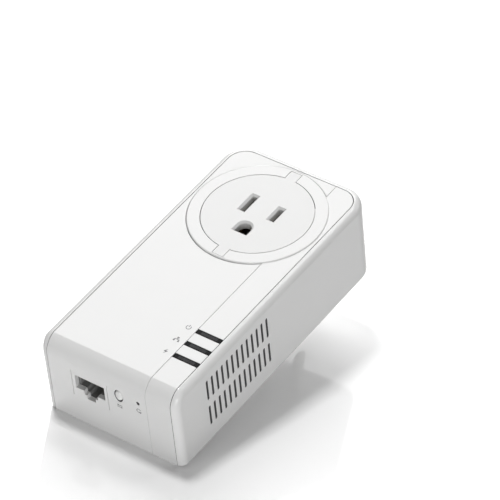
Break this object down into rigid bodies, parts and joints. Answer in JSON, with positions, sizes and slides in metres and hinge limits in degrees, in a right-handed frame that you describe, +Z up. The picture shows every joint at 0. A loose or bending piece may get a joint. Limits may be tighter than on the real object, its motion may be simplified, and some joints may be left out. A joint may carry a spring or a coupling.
{
  "type": "powerline adapter",
  "caption": "Pass-through powerline adapter with a grounded wall plug, a front outlet, a network jack, status bars, a sync button and a reset switch.",
  "frame": {"origin": "on the flat back face that meets the wall, on the case's centre line and level with the two plug blades", "axes": "+Z up along the case, +Y out of the back into the wall along the blades, -Y out of the front outlet, +X to the right seen from the front"},
  "size_m": [0.062, 0.0571, 0.1256],
  "materials": {
    "case_white": "glossy white moulded shell",
    "outlet_white": "glossy white outlet insert",
    "button_white": "glossy white button",
    "smoke_bar": "smoked black light bar",
    "jack_plastic": "light grey jack housing",
    "plated_metal": "nickel-plated brass",
    "brass": "bright brass strip",
    "board": "solder-masked glass-epoxy board",
    "moulding": "black glass-filled moulding",
    "ferrite": "dark ferrite",
    "winding": "yellow tape over copper winding",
    "sleeve": "printed shrink sleeve on an aluminium can",
    "blue_coat": "blue dipped coating",
    "chip": "black moulded package",
    "aluminium": "plain extruded aluminium",
    "steel": "zinc-plated steel",
    "led": "clear water-white package"
  },
  "bodies": {
    "root": {"rear_housing": "case_white", "front_cover": "case_white", "side_strip": "case_white", "light_bar_power": "smoke_bar", "light_bar_ethernet": "smoke_bar", "light_bar_powerline": "smoke_bar", "outlet_bezel": "outlet_white", "outlet_face": "outlet_white", "contact_carrier": "moulding", "line_contact": "brass", "neutral_contact": "brass", "ground_contact": "brass", "blade_carrier": "moulding", "line_blade": "plated_metal", "neutral_blade": "plated_metal", "ground_pin": "plated_metal", "line_link": "brass", "neutral_link": "brass", "ground_link": "brass", "line_lead": "brass", "neutral_lead": "brass", "power_board": "board", "transformer_core": "ferrite", "transformer_coil": "winding", "bulk_capacitor_1": "sleeve", "bulk_capacitor_2": "sleeve", "output_capacitor": "sleeve", "x_capacitor": "winding", "common_mode_choke": "ferrite", "fuse": "steel", "varistor": "blue_coat", "bridge_rectifier": "chip", "power_controller": "chip", "optocoupler": "chip", "line_coupler": "ferrite", "coupling_capacitor": "blue_coat", "logic_board": "board", "board_header": "moulding", "main_chip": "chip", "heat_sink": "aluminium", "memory_chip": "chip", "clock_crystal": "steel", "ethernet_transformer": "chip", "led_power": "led", "led_ethernet": "led", "led_powerline": "led", "jack_housing": "jack_plastic", "jack_contacts": "brass", "sync_switch": "moulding", "reset_switch": "moulding", "case_screw_1": "steel", "case_screw_2": "steel", "case_screw_3": "steel", "case_screw_4": "steel", "board_screw_1": "steel", "board_screw_2": "steel"},
    "sync_button_body": {"sync_button": "button_white"},
    "sync_plunger_body": {"sync_plunger": "chip"},
    "reset_plunger_body": {"reset_plunger": "chip"}
  },
  "joints": [
    {"name": "sync_press", "type": "slide", "parent": "root", "child": "sync_button_body", "axis": [0, 0, 1], "range_m": [0, 0.0005], "stiffness_N_per_m": 400},
    {"name": "sync_plunger_press", "type": "slide", "parent": "root", "child": "sync_plunger_body", "axis": [0, 0, 1], "range_m": [0, 0.0005]},
    {"name": "reset_press", "type": "slide", "parent": "root", "child": "reset_plunger_body", "axis": [0, 0, 1], "range_m": [0, 0.0003], "stiffness_N_per_m": 400}
  ],
  "couplings": [
    {"joint": "sync_plunger_press", "follows": "sync_press", "ratio": 1}
  ]
}
